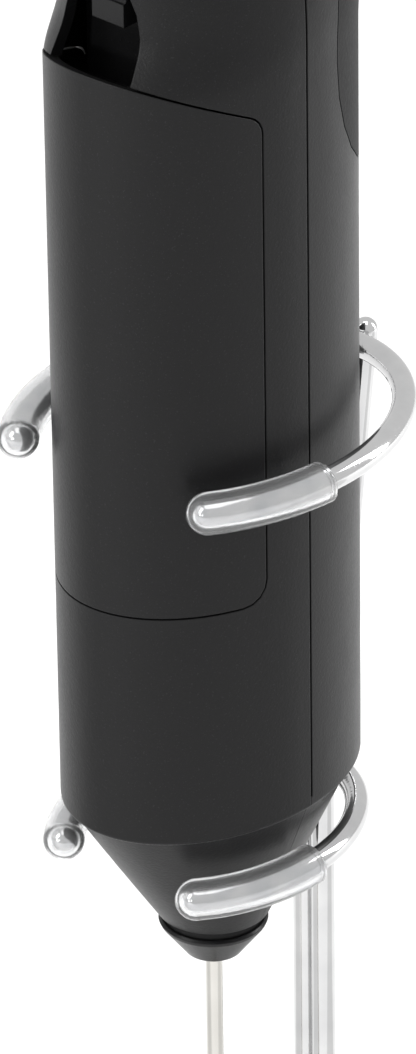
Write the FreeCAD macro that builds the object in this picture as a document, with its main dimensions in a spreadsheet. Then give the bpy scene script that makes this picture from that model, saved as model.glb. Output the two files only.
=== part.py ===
import FreeCAD, Part
import math
import os
import Sketcher

# Battery milk frother standing in its own bent-wire stand.
# Frame: origin on the table, straight below the frother's axis. +Z up, -Y is the front
# (battery door and switch), +Y the back (wire posts), +X the side. Millimetres.

doc = FreeCAD.newDocument("milk_frother")
V = FreeCAD.Vector

# ---------------------------------------------------------------- driving dimensions
DIMENSIONS = {
    # the frother's place in its stand, and the handle's oval section
    "handle_seat": 131.0,        # height of the handle's lower edge above the table
    "half_width": 15.55,         # handle, half its side-to-side size
    "half_depth": 20.7,          # handle, half its front-to-back size
    "wall": 1.8,
    "lip_inset": 0.9,            # depth of the rear shell's tongue below the outer surface
    "parting_y": 1.2,            # plane where front and rear shells meet
    "tongue_long": 0.9,          # how far the rear shell's tongue reaches into the front shell
    "tongue_foot": 1.5,          # the tongue's lower end; the cone has a plain butt joint
    "seam_gap": 0.15,            # each shell's distance from the parting plane
    "butt_gap": 0.05,            # between the two shells where they butt
    "edge_fillet": 0.5,
    "barrel_top": 97.5,          # the plain oval ends here and the shaped top begins
    "handle_top": 134.0,
    # the cone and nose below the handle
    "cone_step": 0.7,            # how far the handle overhangs the cone
    "cone_drop": 19.7,
    "cone_bulge": 0.1,           # how far its sides swell out half way down
    "cone_end": 7.0,             # cone's lower radius
    "groove_drop": 21.0,
    "groove_rad": 6.1,
    "tip_rad": 6.75,
    "tip_drop": 26.2,
    "tip_end": 2.7,
    # battery door
    "door_base": 31.4,
    "door_side_y": -5.75,
    "door_side_top": 94.4,       # height of the sloping top edge where it meets the side edge
    "door_slope": 0.456,         # rise of the top edge per millimetre towards the front
    "door_gap": 0.25,
    "corner_low": 3.0,
    "corner_high": 2.5,
    # switch window and slide
    "window_base": 97.0,         # below the door's top edge, so the door closes the window
    "window_half": 6.3,
    "window_top": 118.5,
    "window_crown": 3.2,         # half width of the slot that the slide runs up in
    "slider_half": 2.5,
    "slider_low": 105.5,
    "slider_tall": 7.5,
    "slider_face_y": -15.2,
    "slider_back_y": -11.6,
    "groove_cut": 0.45,          # finger grooves across the slide's upper half
    "groove_step": 1.4,
    "shelf_base": 94.6,          # the switch plate's foot, a shelf over the battery tray
    "well_face_y": -11.3,        # front of the plate that closes the window behind the slide
    "well_thick": 1.0,
    # rear grip pad
    "grip_edge_y": 7.4,
    "grip_mid_low": 97.0,
    "grip_mid_high": 111.0,
    "grip_end_rise": 18.0,
    "grip_thick": 0.9,
    "grip_gap": 0.15,
    # two AA cells, one behind the other
    "cell_rad": 7.2,
    "cell_long": 49.5,
    "cell_y": 7.4,
    "cell_base": 40.0,
    "nub_rad": 2.75,
    "nub_tall": 1.0,
    # battery tray
    "tray_gap": 0.3,
    "tray_wall": 1.0,
    "tray_base": 35.0,
    "tray_top": 94.0,
    "plate_thick": 0.4,
    # motor, mount, rotor and coupling
    "motor_base": 4.0,
    "motor_long": 25.0,
    "motor_rad": 10.0,
    "motor_half_flat": 7.5,
    "cap_tall": 3.0,
    "boss_rad": 3.0,
    "boss_tall": 1.5,
    "mount_thick": 1.6,
    "rotor_rad": 1.0,
    "coupling_rad": 3.0,
    "coupling_top": 0.8,
    "coupling_low": -10.0,
    "run_fit": 0.06,
    # nose bush and whisk
    "bush_rad": 3.0,
    "bush_top": -15.0,
    "whisk_rad": 1.05,
    "whisk_low": 12.0,           # lowest point of the whisk above the table
    "coil_radius": 9.0,          # whisk ring, centre line
    "coil_wire": 0.6,
    "spring_turn": 1.3,
    "hub_seat": 0.5,             # the shaft's foot above the ring's centre plane
    # the wire stand
    "wire_rad": 1.5,
    "sleeve_rad": 2.55,
    "sleeve_bore": 1.52,
    "upper_half_x": 20.1,
    "upper_half_y": 25.65,
    "upper_y": 0.9,
    "upper_lift": 47.5,
    "lower_half_x": 15.7,
    "lower_half_y": 19.9,
    "lower_y": -0.2,
    "lower_lift": -7.7,
    "post_x": 1.51,
    "post_y": 18.0,
    "post_bend": 6.0,
    "lean_y": 22.3,
    "lean_lift": -9.0,
    "crank_lift": -19.0,
    "post_top_y": 29.4,
    "post_top_lift": 47.9,
    "base_radius": 39.0,
    "base_y": 0.43,              # the loop's centre, so the whole stand is centred on the origin
    "base_wire_z": 2.3,
    "foot_long": 14.0,
}

# angles in degrees from the front, either way round
UPPER_OPEN = {"right": 49.3, "left": 43.8}
LOWER_OPEN = {"right": 44.6, "left": 40.9}
UPPER_SLEEVE_SPAN = 35.7
LOWER_SLEEVE_SPAN = 48.4
# the shaped top: share of its rise, then how much of the barrel's front, back and side
# half sizes is left there; the front drops first, into the thumb rest
TOP_STATIONS = (
    (0.0, 1.0, 1.0, 1.0),
    (0.055, 0.985, 1.0, 1.0),
    (0.11, 0.935, 1.0, 1.0),
    (0.178, 0.87, 1.0, 0.998),
    (0.274, 0.83, 1.0, 0.99),
    (0.397, 0.805, 0.99, 0.97),
    (0.562, 0.75, 0.96, 0.92),
    (0.726, 0.65, 0.89, 0.82),
    (0.863, 0.50, 0.77, 0.67),
    (0.959, 0.32, 0.57, 0.46),
    (1.0, 0.15, 0.30, 0.22),
)
FOOT_ANGLES = (45, 135, 225, 315)

sheet = doc.addObject("Spreadsheet::Sheet", "dims")
for row, (alias, size) in enumerate(DIMENSIONS.items(), start=1):
    sheet.set(f"A{row}", alias)
    sheet.set(f"B{row}", str(size))
    sheet.setAlias(f"B{row}", alias)
doc.recompute()

parts = []


def num(text):
    """The value of an expression over the sheet."""
    return float(sheet.evalExpression(str(text)))


def name_part(thing, label, lift="dims.handle_seat"):
    """Give a finished sub-part its node name and its height above the table."""
    thing.Label = label
    if lift:
        thing.setExpression("Placement.Base.z", lift)
    parts.append(thing)
    return thing


# ---------------------------------------------------------------- sketch helpers
def new_body(name):
    return doc.addObject("PartDesign::Body", name)


def plane_of(body, role):
    for feature in body.Origin.OriginFeatures:
        if feature.Role == role:
            return feature
    raise ValueError(role)


def sketch_on(body, name, role="XY_Plane", offset=None):
    sketch = body.newObject("Sketcher::SketchObject", name)
    sketch.AttachmentSupport = [(plane_of(body, role), "")]
    sketch.MapMode = "FlatFace"
    if offset is not None:
        sketch.AttachmentOffset = FreeCAD.Placement(V(0, 0, num(offset)), FreeCAD.Rotation())
        sketch.setExpression("AttachmentOffset.Base.z", str(offset))
    return sketch


def pin_point(sketch, geometry, end, across, along):
    """Hold one point of a sketch at two expressions measured from the sketch's origin."""
    for kind, text in (("DistanceX", across), ("DistanceY", along)):
        row = sketch.addConstraint(Sketcher.Constraint(kind, -1, 1, geometry, end, num(text)))
        sketch.setExpression(f"Constraints[{row}]", str(text))


def outline(sketch, points):
    """A closed outline of straight edges through points given as expression pairs."""
    places = [V(num(across), num(along), 0) for across, along in points]
    for here, following in zip(places, places[1:] + places[:1]):
        sketch.addGeometry(Part.LineSegment(here, following))
    count = len(points)
    for edge in range(count):
        sketch.addConstraint(Sketcher.Constraint("Coincident", edge, 2, (edge + 1) % count, 1))
    for edge, (across, along) in enumerate(points):
        pin_point(sketch, edge, 1, across, along)
    return sketch


def ring_outline(sketch, radius, across="0", along="0"):
    """A circle whose radius and centre follow the sheet."""
    index = sketch.addGeometry(Part.Circle(V(num(across), num(along), 0), V(0, 0, 1), num(radius)))
    row = sketch.addConstraint(Sketcher.Constraint("Radius", index, num(radius)))
    sketch.setExpression(f"Constraints[{row}]", str(radius))
    pin_point(sketch, index, 3, across, along)
    return sketch


def oval_outline(sketch, half_x, half_y, centre_y="0"):
    """An ellipse, longer front to back, whose size and centre follow the sheet."""
    wide, deep, mid = num(half_x), num(half_y), num(centre_y)
    ellipse = Part.Ellipse(V(0, mid + deep, 0), V(-wide, mid, 0), V(0, mid, 0))
    index = sketch.addGeometry(ellipse)
    sketch.exposeInternalGeometry(index)
    sketch.addConstraint(Sketcher.Constraint("Vertical", index + 1))
    for line, text in ((index + 1, half_y), (index + 2, half_x)):
        row = sketch.addConstraint(Sketcher.Constraint("Distance", line, 2 * num(text)))
        sketch.setExpression(f"Constraints[{row}]", f"2 * ({text})")
    pin_point(sketch, index, 3, "0", centre_y)
    return sketch


def pad(body, sketch, length, reverse=False):
    feature = body.newObject("PartDesign::Pad", sketch.Name + "_pad")
    feature.Profile = sketch
    feature.Length = num(length)
    feature.setExpression("Length", str(length))
    feature.Reversed = reverse
    return feature


def pocket_through(body, sketch):
    """Cut a sketch right through the body, both ways."""
    feature = body.newObject("PartDesign::Pocket", sketch.Name + "_pocket")
    feature.Profile = sketch
    feature.Type = "ThroughAll"
    feature.Midplane = True
    return feature


def loft(body, sketches, name):
    feature = body.newObject("PartDesign::AdditiveLoft", name)
    feature.Profile = sketches[0]
    feature.Sections = sketches[1:]
    return feature


def turned(name, points):
    """A turned piece: an outline in the XZ plane revolved about the vertical axis."""
    body = new_body(name)
    sketch = outline(sketch_on(body, name + "_outline", "XZ_Plane"), points)
    feature = body.newObject("PartDesign::Revolution", name + "_turn")
    feature.Profile = sketch
    feature.ReferenceAxis = (sketch, ["V_Axis"])
    feature.Angle = 360
    return body


def boolean(kind, name, base, tools):
    """A Part boolean: Cut, Common or MultiFuse."""
    if kind == "MultiFuse":
        feature = doc.addObject("Part::MultiFuse", name)
        feature.Shapes = [base] + tools
        return feature
    tool = tools[0]
    if len(tools) > 1:
        tool = doc.addObject("Part::MultiFuse", name + "_tools")
        tool.Shapes = tools
    feature = doc.addObject("Part::" + kind, name)
    feature.Base = base
    feature.Tool = tool
    return feature


def side_prism(name, points):
    """A block cut from side to side: its outline is drawn in the YZ plane."""
    body = new_body(name)
    sketch = outline(sketch_on(body, name + "_outline", "YZ_Plane"), points)
    feature = pad(body, sketch, "4 * dims.half_width")
    feature.Midplane = True
    return body


def block(name, low, high):
    """A box between two corners given as expressions."""
    box = doc.addObject("Part::Box", name)
    for side, axis, first, last in zip(("Length", "Width", "Height"), "xyz", low, high):
        box.setExpression(side, f"({last}) - ({first})")
        box.setExpression(f"Placement.Base.{axis}", f"{first}")
    return box


def drum(name, radius, low, high, across="0", along="0"):
    """An upright cylinder between two heights."""
    cylinder = doc.addObject("Part::Cylinder", name)
    cylinder.setExpression("Radius", str(radius))
    cylinder.setExpression("Height", f"({high}) - ({low})")
    cylinder.setExpression("Placement.Base.x", str(across))
    cylinder.setExpression("Placement.Base.y", str(along))
    cylinder.setExpression("Placement.Base.z", str(low))
    return cylinder


# ---------------------------------------------------------------- the handle's oval form
def round_lower_edge(body, column):
    """A small round on the edge where the handle overhangs the cone."""
    doc.recompute()
    low_edges = [
        f"Edge{index}"
        for index, edge in enumerate(column.Shape.Edges, start=1)
        if edge.BoundBox.ZMax < 0.01
    ]
    fillet = body.newObject("PartDesign::Fillet", "lower_edge")
    fillet.Base = (column, low_edges)
    fillet.setExpression("Radius", "dims.edge_fillet")


def handle_form(name, inset, nose=True):
    """The handle as one solid, drawn in everywhere by the inset, with or without its cone."""
    body = new_body(name)
    wide = f"(dims.half_width - {inset})"
    deep = f"(dims.half_depth - {inset})"
    barrel = oval_outline(sketch_on(body, name + "_barrel"), wide, deep)
    column = pad(body, barrel, "dims.barrel_top")
    if nose and inset == "0":
        round_lower_edge(body, column)

    sections = []
    for index, (share, front_left, back_left, side_left) in enumerate(TOP_STATIONS):
        level = f"dims.barrel_top + {share} * (dims.handle_top - {inset} - dims.barrel_top)"
        front = f"{deep} * {front_left}"
        back = f"{deep} * {back_left}"
        sketch = sketch_on(body, f"{name}_top_{index}", "XY_Plane", level)
        oval_outline(sketch, f"{wide} * {side_left}", f"({front} + {back}) / 2", f"({back} - {front}) / 2")
        sections.append(sketch)
    loft(body, sections, name + "_dome")
    if not nose:
        return body

    end = f"(dims.cone_end - {inset})"
    upper = sketch_on(body, name + "_cone_0")
    middle = sketch_on(body, name + "_cone_1", "XY_Plane", "-0.5 * dims.cone_drop")
    lower = sketch_on(body, name + "_cone_2", "XY_Plane", "-dims.cone_drop")
    oval_outline(upper, f"{wide} - dims.cone_step", f"{deep} - dims.cone_step")
    oval_outline(
        middle,
        f"({wide} - dims.cone_step + {end}) / 2 + dims.cone_bulge",
        f"({deep} - dims.cone_step + {end}) / 2 + dims.cone_bulge",
    )
    ring_outline(lower, end)
    loft(body, [upper, middle, lower], name + "_cone")
    return body


outer_form = handle_form("outer_form", "0")
lip_form = handle_form("lip_form", "dims.lip_inset")
crown_form = handle_form("crown_form", "0", nose=False)
pad_form = handle_form("pad_form", "dims.grip_thick", nose=False)
inner_form = handle_form("inner_form", "dims.wall")

BIG = "3 * dims.half_depth"
LOW = "-2 * dims.tip_drop"
HIGH = "2 * dims.handle_top"


def half_space(name, first_y, last_y, low=LOW, high=HIGH):
    return side_prism(name, [(first_y, low), (last_y, low), (last_y, high), (first_y, high)])


def door_prism(name, gap):
    """The battery door's side view, with rounded lower and upper corners."""
    front = f"-{BIG}"
    points = [(front, f"dims.door_base - {gap}")]
    for radius, along, angles in (
        ("dims.corner_low", "dims.door_base + dims.corner_low", (-90, -67.5, -45, -22.5, 0)),
        ("dims.corner_high", "dims.door_side_top - dims.corner_high * 0.64", (0, 16, 33, 49, 65.5)),
    ):
        for angle in angles:
            across = f"dims.door_side_y - {radius} + ({radius} + {gap}) * cos({angle}deg)"
            points.append((across, f"{along} + ({radius} + {gap}) * sin({angle}deg)"))
    rise = f"dims.door_slope * (dims.door_side_y + {BIG})"
    points.append((front, f"dims.door_side_top + {rise} + 1.1 * {gap}"))
    return side_prism(name, points)


def grip_prism(name, gap):
    """The rear grip pad's side view: a long oval, open at the back."""
    reach = f"(dims.half_depth - dims.grip_edge_y + {gap})"
    behind = "dims.half_depth + 1"
    turns = (90, 75, 60, 45, 30, 15, 0)
    lower = f"(dims.grip_end_rise + {gap})"
    upper = f"(dims.grip_end_rise * 0.7 + {gap})"
    points = [(behind, f"dims.grip_mid_low - {lower}")]
    for turn in turns:
        across = f"dims.half_depth - {reach} * cos({turn}deg)"
        points.append((across, f"dims.grip_mid_low - {lower} * sin({turn}deg)"))
    for turn in reversed(turns):
        across = f"dims.half_depth - {reach} * cos({turn}deg)"
        points.append((across, f"dims.grip_mid_high + {upper} * sin({turn}deg)"))
    points.append((behind, f"dims.grip_mid_high + {upper}"))
    return side_prism(name, points)


# switch window: an egg-shaped opening in the front face, its lower edge is the door's top edge
def window_prism():
    body = new_body("window_cut")
    sketch = sketch_on(body, "window_outline", "XZ_Plane")
    right = [
        ("dims.window_half", "dims.window_base"),
        ("dims.window_half", "dims.window_base + 4"),
        ("dims.window_half * 0.94", "dims.window_base + 8.5"),
        ("dims.window_half * 0.84", "dims.window_base + 11.3"),
        ("dims.window_half * 0.68", "dims.window_base + 13.4"),
        ("dims.window_crown * 1.08", "dims.window_base + 15.2"),
        ("dims.window_crown", "dims.window_top - dims.window_crown"),
        ("dims.window_crown * 0.87", "dims.window_top - dims.window_crown * 0.5"),
        ("dims.window_crown * 0.5", "dims.window_top - dims.window_crown * 0.13"),
    ]
    left = [(f"-({across})", along) for across, along in reversed(right)]
    outline(sketch, right + [("0", "dims.window_top")] + left)
    # the XZ plane faces the front, so the pad runs forward from the axis
    pad(body, sketch, BIG)
    return body


skin = boolean("Cut", "skin", outer_form, [inner_form])
front_space = half_space("front_space", f"-{BIG}", "dims.parting_y - dims.seam_gap")
lip_front = "dims.parting_y - dims.tongue_long - 0.2"
lip_clear = half_space("lip_clear", lip_front, "dims.parting_y + 1", low="dims.tongue_foot - 0.3")
window_cut = window_prism()

# ---------------------------------------------------------------- front shell
door_hole = door_prism("door_hole", "dims.door_gap")
lip_room = boolean("Common", "lip_room", lip_form, [lip_clear])
front_half = boolean("Common", "front_half", skin, [front_space])
front_shell = boolean("Cut", "front_shell", front_half, [door_hole, window_cut, lip_room])
name_part(front_shell, "front_shell")

# ---------------------------------------------------------------- battery door
door_block = door_prism("door_block", "0")
door_tube = new_body("door_tube")
tube_outline = sketch_on(door_tube, "door_tube_outline")
oval_outline(tube_outline, "dims.half_width", "dims.half_depth")
oval_outline(tube_outline, "dims.half_width - dims.wall", "dims.half_depth - dims.wall")
pad(door_tube, tube_outline, "dims.window_top")
name_part(boolean("Common", "battery_door", door_tube, [door_block]), "battery_door")

# ---------------------------------------------------------------- rear shell with its tongue
tongue_front = half_space("tongue_front", f"-{BIG}", "dims.parting_y - dims.tongue_long")
rim_back = "dims.parting_y + dims.seam_gap"
rim_block = half_space("rim_block", f"-{BIG}", rim_back, low="dims.tongue_foot")
rim_room = boolean("Cut", "rim_room", rim_block, [lip_form])
butt_face = "dims.parting_y - dims.seam_gap + dims.butt_gap"
cone_front = half_space("cone_front", f"-{BIG}", butt_face, high="dims.tongue_foot")
grip_hole = grip_prism("grip_hole", "dims.grip_gap")
grip_floor = boolean("Cut", "grip_floor", grip_hole, [pad_form])
rear_shell = boolean("Cut", "rear_shell", skin, [tongue_front, rim_room, cone_front, grip_floor])
name_part(rear_shell, "rear_shell")

# ---------------------------------------------------------------- rear grip pad
grip_block = grip_prism("grip_block", "0")
grip_skin = boolean("Cut", "grip_skin", crown_form, [pad_form])
rear_grip_pad = boolean("Common", "rear_grip_pad", grip_skin, [grip_block])
name_part(rear_grip_pad, "rear_grip_pad")

# ---------------------------------------------------------------- nose: seal, tip and bush
nose_seal = turned("nose_seal", [
    ("dims.bush_rad", "-dims.cone_drop"),
    ("dims.groove_rad", "-dims.cone_drop"),
    ("dims.groove_rad", "-dims.groove_drop"),
    ("dims.bush_rad", "-dims.groove_drop"),
])
name_part(nose_seal, "nose_seal")

nose_tip = turned("nose_tip", [
    ("dims.whisk_rad + 0.5", "-dims.groove_drop"),
    ("dims.tip_rad - 0.3", "-dims.groove_drop"),
    ("dims.tip_rad", "-dims.groove_drop - 0.3"),
    ("dims.tip_rad - 0.2", "-dims.groove_drop - 0.8"),
    ("dims.tip_end + 0.9", "-dims.tip_drop + 0.45"),
    ("dims.tip_end + 0.4", "-dims.tip_drop + 0.1"),
    ("dims.tip_end", "-dims.tip_drop"),
    ("dims.whisk_rad + 0.5", "-dims.tip_drop"),
])
name_part(nose_tip, "nose_tip")

nose_bush = turned("nose_bush", [
    ("dims.whisk_rad + dims.run_fit", "dims.bush_top"),
    ("dims.bush_rad", "dims.bush_top"),
    ("dims.bush_rad", "-dims.groove_drop"),
    ("dims.whisk_rad + dims.run_fit", "-dims.groove_drop"),
])
name_part(nose_bush, "nose_bush")

# a disc inside the cone that holds the bush
bush_carrier = turned("bush_carrier", [
    ("dims.bush_rad", "-dims.cone_drop"),
    ("dims.bush_rad", "-dims.cone_drop + 2.2"),
    ("dims.cone_end - dims.wall - 0.1", "-dims.cone_drop + 2.2"),
    ("dims.cone_end - dims.wall - 0.1", "-dims.cone_drop"),
])
name_part(bush_carrier, "bush_carrier")

# ---------------------------------------------------------------- motor, its mount and end cap
def flat_sided_can(name, low, high, radius):
    """A round motor can with two flats."""
    round_can = drum(name + "_round", radius, low, high)
    flats = block(
        name + "_flats",
        ("-dims.motor_half_flat", f"-({radius})", low),
        ("dims.motor_half_flat", radius, high),
    )
    return boolean("Common", name, round_can, [flats])


motor_top = "dims.motor_base + dims.motor_long"
can_body = flat_sided_can("can_body", "dims.motor_base", f"{motor_top} - dims.cap_tall", "dims.motor_rad")
can_boss = drum("can_boss", "dims.boss_rad", "dims.motor_base - dims.boss_tall", "dims.motor_base + 0.5")
can_solid = boolean("MultiFuse", "can_solid", can_body, [can_boss])
can_core = drum("can_core", "dims.motor_rad - 3.4", "dims.motor_base + 1.5", motor_top)
can_bore = drum("can_bore", "dims.rotor_rad + dims.run_fit", "dims.motor_base - 3", "dims.motor_base + 3")
name_part(boolean("Cut", "motor_can", can_solid, [can_core, can_bore]), "motor_can")

cap_solid = flat_sided_can("cap_solid", f"{motor_top} - dims.cap_tall", motor_top, "dims.motor_rad - 0.3")
cap_bore = drum("cap_bore", "dims.rotor_rad + dims.run_fit", f"{motor_top} - 4", f"{motor_top} + 1")
name_part(boolean("Cut", "motor_cap", cap_solid, [cap_bore]), "motor_cap")

# an oval plate across the handle that the motor stands on
mount_body = new_body("motor_mount")
mount_sketch = sketch_on(mount_body, "mount_outline", "XY_Plane", "dims.motor_base")
oval_outline(mount_sketch, "dims.half_width - dims.wall - 0.2", "dims.half_depth - dims.wall - 0.2")
ring_outline(mount_sketch, "dims.boss_rad + 0.05")
pad(mount_body, mount_sketch, "dims.mount_thick", reverse=True)
name_part(mount_body, "motor_mount")

# ---------------------------------------------------------------- turning parts
rotor_shaft = turned("rotor_shaft", [
    ("0", "-4"),
    ("dims.rotor_rad", "-4"),
    ("dims.rotor_rad", "dims.motor_base + 4"),
    ("dims.motor_rad - 4", "dims.motor_base + 4"),
    ("dims.motor_rad - 4", f"{motor_top} - 5"),
    ("dims.rotor_rad", f"{motor_top} - 5"),
    ("dims.rotor_rad", f"{motor_top} + 1"),
    ("0", f"{motor_top} + 1"),
])
name_part(rotor_shaft, "motor_rotor")

coupling = turned("shaft_coupling", [
    ("dims.whisk_rad", "dims.coupling_low"),
    ("dims.coupling_rad", "dims.coupling_low"),
    ("dims.coupling_rad", "dims.coupling_top"),
    ("dims.rotor_rad", "dims.coupling_top"),
    ("dims.rotor_rad", "-4"),
    ("dims.whisk_rad", "-4"),
])
name_part(coupling, "shaft_coupling")

whisk_tail = "dims.whisk_low - dims.handle_seat"
ring_plane = f"({whisk_tail}) + dims.coil_wire + dims.spring_turn"
shaft_body = new_body("whisk_shaft")
shaft_outline = sketch_on(shaft_body, "shaft_outline", "XY_Plane", "-4.2")
ring_outline(shaft_outline, "dims.whisk_rad")
pad(shaft_body, shaft_outline, f"-4.2 - ({ring_plane}) - dims.hub_seat", reverse=True)
name_part(shaft_body, "whisk_shaft")


def whisk_head():
    """A flat wire ring wound round with a fine spring; two spokes join it to the shaft's foot."""
    radius = num("dims.coil_radius")
    wire = num("dims.coil_wire")
    seat = num("dims.hub_seat")
    core = Part.makeTorus(radius, wire)
    hub = Part.makeCylinder(num("dims.whisk_rad") + 0.7, 3.0, V(0, 0, seat - 1.5))
    hub = hub.cut(Part.makeCylinder(num("dims.whisk_rad"), 3.0, V(0, 0, seat)))
    spoke = Part.makeCylinder(0.75 * wire, 2 * radius, V(-radius, 0, -0.25 * wire), V(1, 0, 0))
    return core.fuse([spoke, hub])


whisk_ring = doc.addObject("Part::Feature", "whisk_ring")
whisk_ring.Shape = whisk_head()
name_part(whisk_ring, "whisk_ring", f"dims.handle_seat + {ring_plane}")

# the spring wound on the ring, as the sleeve it fills
spring_outer = doc.addObject("Part::Torus", "spring_outer")
spring_outer.setExpression("Radius1", "dims.coil_radius")
spring_outer.setExpression("Radius2", "dims.spring_turn")
spring_inner = doc.addObject("Part::Torus", "spring_inner")
spring_inner.setExpression("Radius1", "dims.coil_radius")
spring_inner.setExpression("Radius2", "dims.coil_wire + 0.05")
spoke_room = doc.addObject("Part::Box", "spoke_room")
spoke_room.setExpression("Length", "3 * dims.coil_radius")
spoke_room.setExpression("Width", "2 * dims.spring_turn")
spoke_room.setExpression("Height", "4 * dims.spring_turn")
spoke_room.setExpression("Placement.Base.x", "-1.5 * dims.coil_radius")
spoke_room.setExpression("Placement.Base.y", "-dims.spring_turn")
spoke_room.setExpression("Placement.Base.z", "-2 * dims.spring_turn")
whisk_spring = boolean("Cut", "whisk_spring", spring_outer, [spring_inner, spoke_room])
name_part(whisk_spring, "whisk_spring", f"dims.handle_seat + {ring_plane}")

# ---------------------------------------------------------------- cells, tray, contacts
for label, side, flip in (("front_cell", "-1", False), ("rear_cell", "1", True)):
    low, high = "dims.cell_base", "dims.cell_base + dims.cell_long"
    points = [
        ("0", low),
        ("dims.cell_rad - 0.5", low),
        ("dims.cell_rad", f"{low} + 0.5"),
        ("dims.cell_rad", f"{high} - 0.5"),
        ("dims.cell_rad - 0.5", high),
        ("dims.nub_rad", high),
        ("dims.nub_rad", f"{high} + dims.nub_tall"),
        ("0", f"{high} + dims.nub_tall"),
    ]
    if flip:
        total = "(2 * dims.cell_base + dims.cell_long)"
        points = [(across, f"{total} - ({along})") for across, along in points]
    cell = turned(label, points)
    cell.setExpression("Placement.Base.y", f"{side} * dims.cell_y")
    name_part(cell, label)


def tray():
    """The battery tray: an oval tube open at the front, with a floor and a ceiling."""
    body = new_body("battery_tray")
    gap = "(dims.wall + dims.tray_gap)"
    base = sketch_on(body, "tray_outline", "XY_Plane", "dims.tray_base")
    oval_outline(base, f"dims.half_width - {gap}", f"dims.half_depth - {gap}")
    pad(body, base, "dims.tray_top - dims.tray_base")
    hollow = outline(sketch_on(body, "tray_hollow", "YZ_Plane"), [
        (f"-{BIG}", "dims.tray_base + dims.tray_wall"),
        ("dims.cell_y + dims.cell_rad + 0.3", "dims.tray_base + dims.tray_wall"),
        ("dims.cell_y + dims.cell_rad + 0.3", "dims.tray_top - dims.tray_wall"),
        (f"-{BIG}", "dims.tray_top - dims.tray_wall"),
    ])
    cut = body.newObject("PartDesign::Pocket", "tray_pocket")
    cut.Profile = hollow
    cut.Midplane = True
    cut.Length = 2 * (num("dims.cell_rad") + 0.8)
    cut.setExpression("Length", "2 * (dims.cell_rad + 0.8)")
    front = outline(sketch_on(body, "tray_front", "YZ_Plane"), [
        (f"-{BIG}", "dims.tray_base - 1"),
        ("dims.door_side_y - 1.5", "dims.tray_base - 1"),
        ("dims.door_side_y - 1.5", "dims.tray_top + 1"),
        (f"-{BIG}", "dims.tray_top + 1"),
    ])
    pocket_through(body, front)
    return body


name_part(tray(), "battery_tray")


floor_z = "dims.tray_base + dims.tray_wall"
ceiling_z = "dims.tray_top - dims.tray_wall - dims.plate_thick"
cell_top = "dims.cell_base + dims.cell_long"

# the plate that joins the two cells at the foot, with a raised boss under the rear cell
bridge_flat = block(
    "bridge_flat",
    ("-dims.cell_rad + 2", "-dims.cell_y - 4", floor_z),
    ("dims.cell_rad - 2", "dims.cell_y + 4", f"{floor_z} + dims.plate_thick"),
)
bridge_top = "dims.cell_base - dims.nub_tall"
bridge_boss = drum("bridge_boss", "dims.nub_rad", floor_z, bridge_top, "0", "dims.cell_y")
name_part(boolean("MultiFuse", "bridge_plate", bridge_flat, [bridge_boss]), "bridge_plate")

# the plates over the cells: the front one reaches down to the cell's raised end
ceiling_top = f"{ceiling_z} + dims.plate_thick"
front_flat = drum("front_flat", "dims.cell_rad - 1", ceiling_z, ceiling_top, "0", "-dims.cell_y")
nub_top = f"{cell_top} + dims.nub_tall"
front_boss = drum("front_boss", "dims.nub_rad", nub_top, ceiling_top, "0", "-dims.cell_y")
name_part(boolean("MultiFuse", "front_contact", front_flat, [front_boss]), "front_contact")
rear_flat = drum("rear_contact", "dims.cell_rad - 1", ceiling_z, ceiling_top, "0", "dims.cell_y")
name_part(rear_flat, "rear_contact", f"dims.handle_seat + {ceiling_z}")


def contact_spring(label, side_y, low, high):
    """A conical battery spring, as the tapered sleeve that its turns fill."""
    cone = doc.addObject("Part::Cone", label + "_outer")
    cone.setExpression("Radius1", "dims.nub_rad + 1.6")
    cone.setExpression("Radius2", "dims.nub_rad")
    cone.setExpression("Height", f"({high}) - ({low})")
    core = doc.addObject("Part::Cylinder", label + "_core")
    core.setExpression("Radius", "dims.nub_rad - 0.9")
    core.setExpression("Height", f"({high}) - ({low})")
    spring = boolean("Cut", label, cone, [core])
    spring.setExpression("Placement.Base.y", side_y)
    return name_part(spring, label, f"dims.handle_seat + {low}")


contact_spring("front_spring", "-dims.cell_y", f"{floor_z} + dims.plate_thick", "dims.cell_base")
contact_spring("rear_spring", "dims.cell_y", cell_top, ceiling_z)

# ---------------------------------------------------------------- switch
switch_slider_base = block(
    "switch_slider_base",
    ("-dims.slider_half", "dims.slider_face_y", "dims.slider_low"),
    ("dims.slider_half", "dims.slider_back_y", "dims.slider_low + dims.slider_tall"),
)
slider_grooves = []
for step in range(3):
    groove = doc.addObject("Part::Cylinder", f"slider_groove_{step}")
    groove.setExpression("Radius", "dims.groove_cut")
    groove.setExpression("Height", "2.4 * dims.slider_half")
    groove.Placement = FreeCAD.Placement(V(0, 0, 0), FreeCAD.Rotation(V(0, 1, 0), 90))
    groove.setExpression("Placement.Base.x", "-1.2 * dims.slider_half")
    groove.setExpression("Placement.Base.y", "dims.slider_face_y")
    level = f"dims.slider_low + dims.slider_tall - {1 + step} * dims.groove_step"
    groove.setExpression("Placement.Base.z", level)
    slider_grooves.append(groove)
switch_slider = boolean("Cut", "switch_slider", switch_slider_base, slider_grooves)
name_part(switch_slider, "switch_slider")

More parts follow.
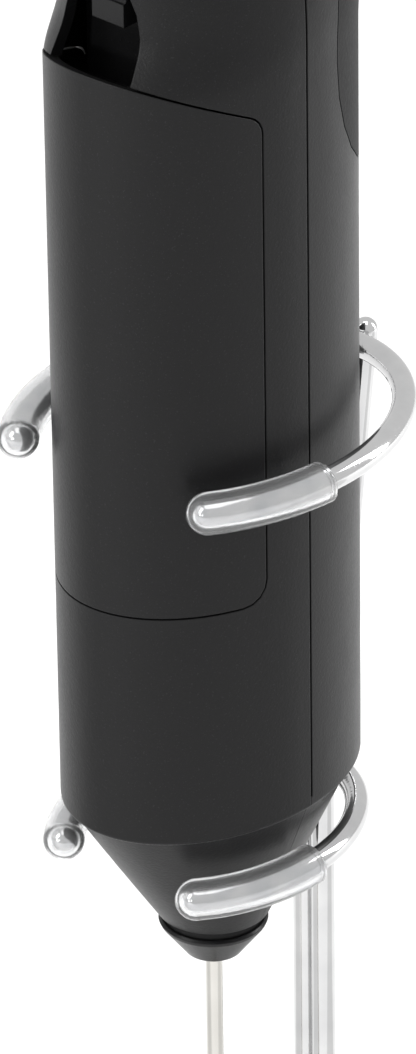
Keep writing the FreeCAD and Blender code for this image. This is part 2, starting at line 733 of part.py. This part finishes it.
# the dark plate that closes the window behind the slide; its foot is a shelf over the tray
well_body = new_body("switch_well")
shelf = sketch_on(well_body, "shelf_outline", "XY_Plane", "dims.shelf_base")
oval_outline(shelf, "dims.half_width - dims.wall - 0.5", "dims.half_depth - dims.wall - 0.5")
pad(well_body, shelf, "dims.well_thick")
shelf_back = outline(sketch_on(well_body, "shelf_back", "YZ_Plane"), [
    ("dims.well_face_y + dims.well_thick", "dims.shelf_base - 1"),
    (BIG, "dims.shelf_base - 1"),
    (BIG, "dims.shelf_base + 3"),
    ("dims.well_face_y + dims.well_thick", "dims.shelf_base + 3"),
])
pocket_through(well_body, shelf_back)
well_sketch = sketch_on(well_body, "well_outline", "XZ_Plane", "-dims.well_face_y - dims.well_thick")
outline(well_sketch, [
    ("-dims.window_half - 1", "dims.shelf_base"),
    ("dims.window_half + 1", "dims.shelf_base"),
    ("dims.window_half + 1", "dims.window_base + 9"),
    ("dims.window_crown + 1", "dims.window_top + 0.5"),
    ("-dims.window_crown - 1", "dims.window_top + 0.5"),
    ("-dims.window_half - 1", "dims.window_base + 9"),
])
pad(well_body, well_sketch, "dims.well_thick")
name_part(well_body, "switch_well")

switch_body = block(
    "switch_body",
    ("-5", "dims.well_face_y + dims.well_thick", "dims.window_base + 3"),
    ("5", "dims.well_face_y + dims.well_thick + 5", "dims.window_top - 2"),
)
name_part(switch_body, "switch_body", "dims.handle_seat + dims.window_base + 3")

for label, side in (("left_strip", "-1"), ("right_strip", "1")):
    strip = block(
        label,
        (f"{side} * (dims.cell_rad + 2.2) - 0.2", "-1.5", "dims.motor_base + dims.motor_long + 1.2"),
        (f"{side} * (dims.cell_rad + 2.2) + 0.2", "1.5", "dims.tray_base - 0.2"),
    )
    name_part(strip, label, "dims.handle_seat + dims.motor_base + dims.motor_long + 1.2")

# ---------------------------------------------------------------- wire stand
def ellipse_point(half_x, half_y, centre_y, angle, height):
    """A point on an oval ring, the angle counted from the front towards +X."""
    turn = math.radians(angle)
    return V(half_x * math.sin(turn), centre_y - half_y * math.cos(turn), height)


def tube(path, radius):
    """A round wire swept along a smooth wire path."""
    edge = path.Edges[0]
    start = edge.valueAt(edge.FirstParameter)
    heading = edge.tangentAt(edge.FirstParameter)
    circle = Part.Wire(Part.makeCircle(radius, start, heading))
    return path.makePipeShell([circle], True, False)


def ring_path(which, start, end):
    """Part of an oval ring's centre line, from one angle to another, going round the back."""
    half_x, half_y = num(f"dims.{which}_half_x"), num(f"dims.{which}_half_y")
    centre = V(0, num(f"dims.{which}_y"), num(f"dims.{which}_lift"))
    # the ellipse's own angle starts at +Y (the back) and runs towards +X
    curve = Part.Ellipse(centre + V(0, half_y, 0), centre + V(half_x, 0, 0), centre)
    return Part.Wire(curve.toShape(math.radians(start), math.radians(end)))


def add_shape(label, shape):
    feature = doc.addObject("Part::Feature", label)
    feature.Shape = shape
    return name_part(feature, label)


def arm_end(which, angle):
    """The centre of a ring's wire end, its angle counted from the front towards +X."""
    half_x, half_y = num(f"dims.{which}_half_x"), num(f"dims.{which}_half_y")
    return ellipse_point(half_x, half_y, num(f"dims.{which}_y"), angle, num(f"dims.{which}_lift"))


def ring_tube(which, opening, radius):
    """An oval ring, open at the front, of round wire with domed ends."""
    ring = tube(ring_path(which, -180 + opening["left"], 180 - opening["right"]), radius)
    ends = [arm_end(which, opening["right"]), arm_end(which, -opening["left"])]
    return ring.fuse([Part.makeSphere(radius, end) for end in ends]).removeSplitter()


wire_rad, bore_rad, sleeve_rad = [num(f"dims.{word}") for word in ("wire_rad", "sleeve_bore", "sleeve_rad")]
for which, opening, span in (
    ("upper", UPPER_OPEN, UPPER_SLEEVE_SPAN),
    ("lower", LOWER_OPEN, LOWER_SLEEVE_SPAN),
):
    add_shape(f"{which}_ring", ring_tube(which, opening, wire_rad))
    wire_room = ring_tube(which, opening, bore_rad)
    for side, sign in (("right", 1), ("left", -1)):
        first, last = sorted((sign * (180 - opening[side]), sign * (180 - opening[side] - span)))
        outside = tube(ring_path(which, first, last), sleeve_rad)
        domed = outside.fuse(Part.makeSphere(sleeve_rad, arm_end(which, sign * opening[side])))
        add_shape(f"{which}_{side}_sleeve", domed.cut(wire_room).removeSplitter())


def bent_path(points, radii):
    """Straight runs joined by tangent arcs of the given radii."""
    edges = []
    start = points[0]
    for before, corner, after, radius in zip(points, points[1:], points[2:], radii):
        arriving = (corner - before).normalize()
        leaving = (after - corner).normalize()
        half_turn = arriving.getAngle(leaving) / 2
        setback = radius * math.tan(half_turn)
        first, last = corner - arriving * setback, corner + leaving * setback
        middle = corner + (leaving - arriving).normalize() * (radius / math.cos(half_turn) - radius)
        edges.append(Part.makeLine(start, first))
        edges.append(Part.Arc(first, middle, last).toShape())
        start = last
    edges.append(Part.makeLine(start, points[-1]))
    return Part.Wire(edges)


def stand_post(side, top_points, top_radii):
    """One post: from the base loop's rear opening forward, up, and on through the given points."""
    across = side * num("dims.post_x")
    bend = num("dims.post_bend")
    base_z = num("dims.base_wire_z") - num("dims.handle_seat")
    reach = num("dims.base_radius") - bend
    join_y = num("dims.base_y") + math.sqrt(reach**2 - (num("dims.post_x") + bend) ** 2)
    points = [V(across, join_y, base_z), V(across, num("dims.post_y"), base_z)]
    points += [V(across, along, height) for along, height in top_points]
    return bent_path(points, [bend] + top_radii)


def base_path():
    """The base loop, round in plan, turned in to meet the two posts at the back."""
    radius, bend, across = num("dims.base_radius"), num("dims.post_bend"), num("dims.post_x")
    loop_centre = V(0, num("dims.base_y"), num("dims.base_wire_z") - num("dims.handle_seat"))
    bend_centre = V(across + bend, math.sqrt((radius - bend) ** 2 - (across + bend) ** 2), 0)
    outward = V(bend_centre.x, bend_centre.y, 0).normalize()
    bisect = (V(-1, 0, 0) + outward).normalize()
    start = V(across, bend_centre.y, 0)
    middle = bend_centre + bisect * bend
    join = outward * radius

    def arc(*corners):
        return Part.Arc(*[loop_centre + corner for corner in corners]).toShape()

    def mirrored(corner):
        return V(-corner.x, corner.y, corner.z)

    right = arc(start, middle, join)
    loop = arc(join, V(0, -radius, 0), mirrored(join))
    left = arc(mirrored(join), mirrored(middle), mirrored(start))
    return Part.Wire([right, loop, left])


tall_post = stand_post(-1, [
    (num("dims.post_y"), num("dims.crank_lift")),
    (num("dims.lean_y"), num("dims.lean_lift")),
    (num("dims.post_top_y"), num("dims.post_top_lift")),
], [8.0, 8.0])
short_post = stand_post(1, [(num("dims.post_y"), num("dims.lower_lift - dims.wire_rad") + 0.2)], [])
tall_top = V(-num("dims.post_x"), num("dims.post_top_y"), num("dims.post_top_lift"))
add_shape("base_loop", tube(base_path(), wire_rad))
add_shape("tall_post", tube(tall_post, wire_rad).fuse(Part.makeSphere(wire_rad, tall_top)).removeSplitter())
add_shape("short_post", tube(short_post, wire_rad))

# clear feet: short sleeves on the base loop, flattened underneath where they stand
for index, angle in enumerate(FOOT_ANGLES, start=1):
    half_turn = math.degrees(num("dims.foot_long / dims.base_radius")) / 2
    height = num("dims.base_wire_z - dims.handle_seat")
    circle = Part.Circle(V(0, num("dims.base_y"), height), V(0, 0, 1), num("dims.base_radius"))
    arc = Part.Wire(circle.toShape(math.radians(angle - half_turn), math.radians(angle + half_turn)))
    foot = tube(arc, sleeve_rad).cut(tube(arc, bore_rad))
    size = 4 * num("dims.base_radius")
    floor = Part.makeBox(size, size, 10, V(-size / 2, -size / 2, -num("dims.handle_seat") - 10))
    add_shape(f"foot_{index}", foot.cut(floor))

# ---------------------------------------------------------------- check and export
doc.recompute()
for thing in doc.Objects:
    bad = [state for state in thing.State if state in ("Invalid", "Error")]
    if bad:
        raise RuntimeError(f"{thing.Name}: {bad}")
os.makedirs("parts", exist_ok=True)
for part in parts:
    shape = part.Shape
    if shape.isNull() or not shape.isValid() or not shape.Solids:
        raise RuntimeError(f"{part.Label}: bad shape")
    print(f"{part.Label:20s} solids {len(shape.Solids)}  volume {shape.Volume:9.1f}")
    shape.exportStep(f"parts/{part.Label}.step")
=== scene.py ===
import math
import bpy
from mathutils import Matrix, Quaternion, Vector


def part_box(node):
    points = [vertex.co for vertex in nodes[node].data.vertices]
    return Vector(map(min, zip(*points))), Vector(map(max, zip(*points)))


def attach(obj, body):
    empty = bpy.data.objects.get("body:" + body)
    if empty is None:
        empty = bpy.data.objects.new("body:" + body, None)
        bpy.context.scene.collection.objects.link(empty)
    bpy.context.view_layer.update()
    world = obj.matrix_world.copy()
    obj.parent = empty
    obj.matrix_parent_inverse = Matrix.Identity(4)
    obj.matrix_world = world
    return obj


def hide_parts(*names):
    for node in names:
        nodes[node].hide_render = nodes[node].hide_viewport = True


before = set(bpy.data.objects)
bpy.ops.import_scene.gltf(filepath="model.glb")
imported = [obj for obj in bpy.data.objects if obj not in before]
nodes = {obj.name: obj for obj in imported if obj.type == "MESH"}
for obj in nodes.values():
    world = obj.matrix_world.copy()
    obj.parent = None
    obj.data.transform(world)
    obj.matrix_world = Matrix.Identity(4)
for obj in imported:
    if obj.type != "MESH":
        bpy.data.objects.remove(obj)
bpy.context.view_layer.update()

MM = 0.001

# ------------------------------------------------------------------ the wire of the stand
# The stand is bent from 3 mm mild steel rod, resistance-welded where wires meet and bright
# nickel-chrome plated all over. The plating is near mirror-smooth, with faint draw lines,
# a little haze at the bends and a few handling marks.


class Shade:
    """One socket of a material's node tree; sums on it add Math nodes."""

    def __init__(self, tree, socket=None):
        self.tree = tree
        self.socket = socket

    def node(self, kind, inputs=(), out=0, stops=(), **settings):
        """Any node: its settings first, then its inputs by name or number."""
        made = self.tree.nodes.new("ShaderNode" + kind)
        for name, value in settings.items():
            setattr(made, name, value)
        if stops:
            ramp = made.color_ramp
            while len(ramp.elements) < len(stops):
                ramp.elements.new(0.5)
            for element, (place, tone) in zip(ramp.elements, stops):
                element.position = place
                element.color = (tone, tone, tone, 1.0) if isinstance(tone, float) else (*tone, 1.0)
        for name, value in dict(inputs).items():
            if isinstance(value, Shade):
                self.tree.links.new(value.socket, made.inputs[name])
            else:
                made.inputs[name].default_value = value
        return Shade(self.tree, made.outputs[out])

    def sum(self, operation, *others):
        return self.node("Math", dict(enumerate((self, *others))), operation=operation)

    def __add__(self, other):
        return self.sum("ADD", other)

    __radd__ = __add__

    def __mul__(self, other):
        return self.sum("MULTIPLY", other)

    __rmul__ = __mul__

    def __sub__(self, other):
        return self.sum("SUBTRACT", other)

    def __rsub__(self, other):
        return self.node("Math", {0: other, 1: self}, operation="SUBTRACT")

    def blend(self, low, high):
        """Between two colours as this value goes from 0 to 1."""
        return self.node(
            "Mix", {0: self, 6: (*low, 1.0), 7: (*high, 1.0)}, out=2, data_type="RGBA"
        )


def new_material(name, **constants):
    """A material with one Principled shader and its fixed values; returns both and a Shade."""
    material = bpy.data.materials.new(name)
    material.use_nodes = True
    tree = material.node_tree
    shader = tree.nodes["Principled BSDF"]
    for socket, value in constants.items():
        shader.inputs[socket.replace("_", " ")].default_value = value
    return material, shader, Shade(tree)


def feed(shader, socket, shade):
    shade.tree.links.new(shade.socket, shader.inputs[socket])


def noise(shade, scale, detail=2.0, roughness=0.5, stretch=(1.0, 1.0, 1.0)):
    """Noise in object space. The scale is in features per metre."""
    place = shade.node("TexCoord", out=3)
    moved = shade.node("Mapping", {"Vector": place, "Scale": stretch})
    return shade.node(
        "TexNoise", {"Vector": moved, "Scale": scale, "Detail": detail, "Roughness": roughness}
    )


def ramp(shade, low, high):
    """0 below the low value, 1 above the high one."""
    return shade.node("ValToRGB", {"Fac": shade}, stops=((low, 0.0), (high, 1.0)))


def bump(shade, height, distance, strength=1.0, edge=0.0):
    """A normal from a height; the edge radius rounds sharp corners in shading."""
    inputs = {"Height": height, "Distance": distance, "Strength": strength}
    if edge:
        inputs["Normal"] = shade.node("Bevel", {"Radius": edge}, samples=4)
    return shade.node("Bump", inputs)


def paint(material, *names):
    """Give CAD nodes a material in place of their plain one."""
    for name in names:
        node = nodes[name]
        node.data.materials.clear()
        node.data.materials.append(material)


chrome, shader, mix = new_material("chrome_plate", Metallic=1.0)
haze = noise(mix, 160.0, detail=4.0)
draw_lines = noise(mix, 900.0, stretch=(1.0, 1.0, 0.05))
marks = ramp(noise(mix, 2600.0, detail=1.0), 0.68, 0.72)
feed(shader, "Base Color", ramp(haze, 0.3, 0.75).blend((0.58, 0.58, 0.585), (0.68, 0.68, 0.68)))
feed(shader, "Roughness", 0.05 + haze * 0.06 + marks * 0.12)
feed(shader, "Normal", bump(mix, haze * 0.7 + draw_lines * 0.3, 0.00002, 0.25))
paint(chrome, "base_loop", "tall_post", "short_post", "upper_ring", "lower_ring")

# ------------------------------------------------------------------ clear sleeves and feet
# Short lengths of clear soft PVC tube, dip-moulded with a closed round end and pushed over the
# ring ends so that the wire doesn't scratch the frother; the same tube, cut short, makes feet.

vinyl, shader, mix = new_material("clear_vinyl", IOR=1.5, Transmission_Weight=0.94)
cloud = noise(mix, 300.0, detail=3.0)
fine = noise(mix, 1800.0)
feed(shader, "Base Color", ramp(cloud, 0.3, 0.7).blend((0.88, 0.89, 0.90), (0.98, 0.98, 0.98)))
feed(shader, "Roughness", 0.04 + cloud * 0.08)
feed(shader, "Normal", bump(mix, cloud * 0.6 + fine * 0.4, 0.00008, 0.35, edge=0.0003))
paint(
    vinyl,
    "upper_right_sleeve",
    "upper_left_sleeve",
    "lower_right_sleeve",
    "lower_left_sleeve",
    "foot_1",
    "foot_2",
    "foot_3",
    "foot_4",
)

# ------------------------------------------------------------------ the handle's shells and door
# Injection-moulded ABS in charcoal, its mould spark-eroded to a fine even matte. Two shells meet
# on a plane, the door snaps into the front one. Handling leaves faint smoother patches.


def moulded(name, tone, shine, grain, coarse=2600.0, edge=0.0002):
    """Spark-eroded plastic: a colour, its roughness and the depth of its grain."""
    material, shader, mix = new_material(name, IOR=1.5, Specular_IOR_Level=0.2)
    patches = noise(mix, 55.0, detail=3.0)
    speck = noise(mix, coarse, detail=2.0, roughness=0.6)
    dust = ramp(noise(mix, 5200.0, detail=0.0), 0.74, 0.78)
    light = tuple(1.18 * part + 0.002 for part in tone)
    base = (speck * 0.75 + patches * 0.25).blend(tone, light)
    pale = mix.node(
        "Mix", {0: dust * 0.08, 6: base, 7: (0.12, 0.12, 0.125, 1.0)}, out=2, data_type="RGBA"
    )
    feed(shader, "Base Color", pale)
    feed(shader, "Roughness", shine + speck * 0.14 - patches * 0.10)
    feed(shader, "Normal", bump(mix, speck, grain, 0.6, edge))
    return material


shell = moulded("charcoal_shell", (0.0060, 0.0060, 0.0063), 0.36, 0.00004)
paint(shell, "front_shell", "rear_shell", "battery_door")

# ------------------------------------------------------------------ grip pad and nose seal
# Black rubber, moulded with a duller and coarser grain than the shells. The pad fills a recess
# in the rear shell, and the seal is a ring in the groove above the nose tip.

rubber = moulded("grip_rubber", (0.006, 0.006, 0.0063), 0.60, 0.00006, coarse=1800.0)
paint(rubber, "rear_grip_pad", "nose_seal")

# ------------------------------------------------------------------ nose tip, switch and carriers
# Small black mouldings, finer and shinier than the shells: the nose tip, the switch and its
# well, and the carriers that hold the cells, the motor and the bush.

satin = moulded("satin_black", (0.005, 0.005, 0.0053), 0.28, 0.00002, coarse=3400.0)
paint(
    satin,
    "nose_tip",
    "switch_slider",
    "switch_well",
    "switch_body",
    "battery_tray",
    "motor_cap",
    "motor_mount",
    "bush_carrier",
)

# ------------------------------------------------------------------ shaft, whisk ring and motor
# A 2.1 mm stainless shaft, ground bright, turns in the nose. At its foot two spokes hold a flat
# wire ring. The motor is a flat-sided steel can with a steel rotor.

steel, shader, mix = new_material("ground_steel", Metallic=1.0)
rings = noise(mix, 260.0, stretch=(1.0, 1.0, 6.0))
tarnish = noise(mix, 120.0, detail=3.0)
feed(shader, "Base Color", ramp(tarnish, 0.3, 0.7).blend((0.60, 0.585, 0.55), (0.68, 0.665, 0.63)))
feed(shader, "Roughness", 0.14 + rings * 0.08)
feed(shader, "Normal", bump(mix, rings, 0.00001, 0.15))
paint(steel, "whisk_shaft", "whisk_ring", "motor_can", "motor_rotor")

# ------------------------------------------------------------------ the whisk's wound spring
# A fine stainless spring is threaded on the whisk's ring and closed on itself; its turns beat the
# air in. It is wound straight, then bent round the ring.

RING_RADIUS = 9.0 * MM
TURN_RADIUS = 1.03 * MM
SPRING_WIRE = 0.25 * MM
TURNS = 64
ring_low, ring_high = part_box("whisk_spring")
ring_place = (0.0, 0.0, (ring_low.z + ring_high.z) / 2)
bpy.ops.object.select_all(action="DESELECT")
bpy.ops.curve.primitive_bezier_circle_add(radius=RING_RADIUS, location=ring_place)
ring_line = bpy.context.object
ring_line.data.resolution_u = 64


def coiled(name, place, radius, wire, rise, turns, steps=14):
    """A straight helix of round wire, standing on its place."""
    bpy.ops.object.select_all(action="DESELECT")
    bpy.ops.mesh.primitive_circle_add(
        vertices=8, radius=wire, location=place, rotation=(math.pi / 2, 0.0, 0.0)
    )
    coil = bpy.context.object
    coil.name = name
    bpy.ops.object.transform_apply(location=False, rotation=True, scale=False)
    bpy.ops.object.mode_set(mode="EDIT")
    bpy.ops.transform.translate(value=(radius, 0.0, 0.0))
    bpy.ops.object.mode_set(mode="OBJECT")
    screw = coil.modifiers.new("turns", "SCREW")
    screw.screw_offset = rise / turns
    screw.iterations = turns
    screw.steps = screw.render_steps = steps
    bpy.ops.object.modifier_apply(modifier=screw.name)
    return coil


def settled(piece, body, material, stands_for):
    """A finished piece: place applied, outward faces, smooth, riding on its body."""
    bpy.ops.object.transform_apply(location=True, rotation=True, scale=True)
    bpy.ops.object.mode_set(mode="EDIT")
    bpy.ops.mesh.select_all(action="SELECT")
    bpy.ops.mesh.remove_doubles(threshold=0.00001)
    bpy.ops.mesh.fill_holes(sides=8)
    bpy.ops.mesh.normals_make_consistent(inside=False)
    bpy.ops.object.mode_set(mode="OBJECT")
    bpy.ops.object.shade_smooth()
    piece.data.materials.append(material)
    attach(piece, body)
    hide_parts(stands_for)


whisk_coil = coiled(
    "whisk_coil", ring_place, TURN_RADIUS, SPRING_WIRE, math.tau * RING_RADIUS, TURNS
)
wrap = whisk_coil.modifiers.new("wrap", "CURVE")
wrap.object = ring_line
wrap.deform_axis = "POS_Z"
bpy.ops.object.modifier_apply(modifier=wrap.name)
settled(whisk_coil, "whisk", steel, "whisk_spring")
bpy.data.objects.remove(ring_line)

# ------------------------------------------------------------------ nose bush and coupling
# A turned brass bush in the nose carries the shaft, and a brass sleeve joins the shaft to the
# motor's. Both are left bare, with fine turning rings.

brass, shader, mix = new_material("turned_brass", Metallic=1.0)
turning = noise(mix, 700.0, stretch=(1.0, 1.0, 12.0))
feed(shader, "Base Color", turning.blend((0.62, 0.44, 0.20), (0.76, 0.58, 0.30)))
feed(shader, "Roughness", 0.25 + turning * 0.15)
feed(shader, "Normal", bump(mix, turning, 0.00002, 0.4))
paint(brass, "nose_bush", "shaft_coupling")

# ------------------------------------------------------------------ cells and contacts
# Two AA cells stand one behind the other under the door, in plain film jackets, between
# nickel-plated springs and plates pressed from sheet.

nickel, shader, mix = new_material("nickel_plate", Metallic=1.0)
bloom = noise(mix, 400.0, detail=3.0)
feed(shader, "Base Color", bloom.blend((0.62, 0.61, 0.58), (0.78, 0.77, 0.74)))
feed(shader, "Roughness", 0.22 + bloom * 0.15)
feed(shader, "Normal", bump(mix, bloom, 0.00002, 0.3))
paint(
    nickel,
    "bridge_plate",
    "front_contact",
    "rear_contact",
    "left_strip",
    "right_strip",
)

# conical springs press each cell against its plate
BATTERY_WIRE = 0.35 * MM
BATTERY_TURNS = 3
NARROWING = -0.35
for name, stands_for in (("front_battery_coil", "front_spring"), ("rear_battery_coil", "rear_spring")):
    low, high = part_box(stands_for)
    foot = ((low.x + high.x) / 2, (low.y + high.y) / 2, low.z + BATTERY_WIRE)
    reach = (high.x - low.x) / 2 - BATTERY_WIRE
    rise = high.z - low.z - 2 * BATTERY_WIRE
    battery_coil = coiled(name, foot, reach, BATTERY_WIRE, rise, BATTERY_TURNS, steps=28)
    narrowing = battery_coil.modifiers.new("narrowing", "SIMPLE_DEFORM")
    narrowing.deform_method = "TAPER"
    narrowing.deform_axis = "Z"
    narrowing.factor = NARROWING
    bpy.ops.object.modifier_apply(modifier=narrowing.name)
    settled(battery_coil, "handle", nickel, stands_for)

# the jacket stops at the cell's bare metal ends
jacket, shader, mix = new_material("cell_jacket", IOR=1.45)
film = noise(mix, 350.0, detail=2.0)
height = mix.node("SeparateXYZ", {"Vector": mix.node("TexCoord", out=3)}, out=2)
lowest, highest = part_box("front_cell")[0].z + 0.1 * MM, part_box("rear_cell")[1].z - 0.1 * MM
bare = height.sum("LESS_THAN", lowest) + height.sum("GREATER_THAN", highest)
wrapped = film.blend((0.055, 0.06, 0.07), (0.075, 0.08, 0.09))
metal = film.blend((0.60, 0.59, 0.57), (0.74, 0.73, 0.71))
feed(shader, "Base Color", mix.node("Mix", {0: bare, 6: wrapped, 7: metal}, out=2, data_type="RGBA"))
feed(shader, "Metallic", bare)
feed(shader, "Roughness", 0.26 + film * 0.12)
feed(shader, "Normal", bump(mix, film, 0.00003, 0.3))
paint(jacket, "front_cell", "rear_cell")

# ------------------------------------------------------------------ the studio
# A plain white sweep under soft even light: a key at the left, a wide light overhead, a strip at
# the back right that lights the handle's edge, and a small lamp low in front for the thumb rest.

AIM = Vector((0.0, 0.0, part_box("battery_door")[0].z + 1.9 * MM))
AZIMUTH, ELEVATION, ROLL = 44.0, 29.5, 0.8
DISTANCE = 0.952
LENS = 273.0
SENSOR_HEIGHT = 36.0


def direction(azimuth, elevation):
    """From the object towards a place at that azimuth and elevation, in degrees."""
    turn, rise = math.radians(azimuth), math.radians(elevation)
    return Vector((math.sin(turn) * math.cos(rise), -math.cos(turn) * math.cos(rise), math.sin(rise)))


def aimed(thing, place, target):
    thing.location = place
    thing.rotation_mode = "QUATERNION"
    thing.rotation_quaternion = (target - place).to_track_quat("-Z", "Y")


camera_data = bpy.data.cameras.new("camera")
camera = bpy.data.objects.new("camera", camera_data)
bpy.context.scene.collection.objects.link(camera)
camera_data.sensor_fit = "VERTICAL"
camera_data.sensor_height = SENSOR_HEIGHT
camera_data.lens = LENS
camera_data.clip_start = 0.05
camera_data.clip_end = 20.0
aimed(camera, AIM + direction(AZIMUTH, ELEVATION) * DISTANCE, AIM)
camera.rotation_quaternion = camera.rotation_quaternion @ Quaternion((0, 0, 1), math.radians(-ROLL))
bpy.context.scene.camera = camera

bpy.ops.object.select_all(action="DESELECT")
bpy.ops.mesh.primitive_plane_add(size=6.0, location=(0, 0, 0))
floor = bpy.context.object
floor.name = "floor"
floor_material, shader, mix = new_material("white_sweep")
sweep = noise(mix, 3.0)
feed(shader, "Base Color", sweep.blend((0.93, 0.93, 0.93), (0.96, 0.96, 0.96)))
feed(shader, "Roughness", 0.7 + sweep * 0.1)
floor.data.materials.append(floor_material)


def softbox(name, azimuth, elevation, distance, width, height, power):
    lamp = bpy.data.lights.new(name, "AREA")
    lamp.shape = "RECTANGLE"
    lamp.size, lamp.size_y, lamp.energy = width, height, power
    holder = bpy.data.objects.new(name, lamp)
    bpy.context.scene.collection.objects.link(holder)
    aimed(holder, AIM + direction(azimuth, elevation) * distance, AIM)


softbox("key", -25, 35, 1.1, 0.4, 0.8, 3.5)
softbox("edge_strip", 150, 20, 0.9, 0.15, 0.7, 4.0)
softbox("top", 44, 85, 1.2, 0.8, 0.8, 3.0)
softbox("glint", 4, 14, 1.2, 0.12, 0.12, 4.0)

# grey cards lie on the floor either side and only show in reflections
card_material, shader, mix = new_material("grey_card", Specular_IOR_Level=0.0)
card_felt = noise(mix, 40.0)
feed(shader, "Base Color", card_felt.blend((0.66, 0.66, 0.66), (0.72, 0.72, 0.72)))
feed(shader, "Roughness", 0.9 + card_felt * 0.05)
CARD_WIDTH, CARD_LENGTH, CARD_REACH = 0.15, 0.50, 0.33
for name, swing in (("left_card", -82.0), ("right_card", 78.0)):
    turn = AZIMUTH + swing
    bpy.ops.object.select_all(action="DESELECT")
    bpy.ops.mesh.primitive_plane_add(size=1.0, location=(0, 0, 0))
    card = bpy.context.object
    card.name = name
    bpy.ops.object.mode_set(mode="EDIT")
    bpy.ops.transform.resize(value=(CARD_WIDTH, CARD_LENGTH, 1.0))
    bpy.ops.object.mode_set(mode="OBJECT")
    card.location = direction(turn, 0.0) * CARD_REACH + Vector((0.0, 0.0, MM))
    card.rotation_euler = (0.0, 0.0, math.radians(turn))
    bpy.ops.object.transform_apply(location=True, rotation=True, scale=True)
    card.data.materials.append(card_material)
    card.visible_camera = card.visible_diffuse = card.visible_shadow = False

world = bpy.data.worlds.new("studio_air")
world.use_nodes = True
air = world.node_tree.nodes["Background"]
air.inputs["Color"].default_value = (1.0, 1.0, 1.0, 1.0)
air.inputs["Strength"].default_value = 0.8
bpy.context.scene.world = world
bpy.context.scene.view_settings.view_transform = "Standard"
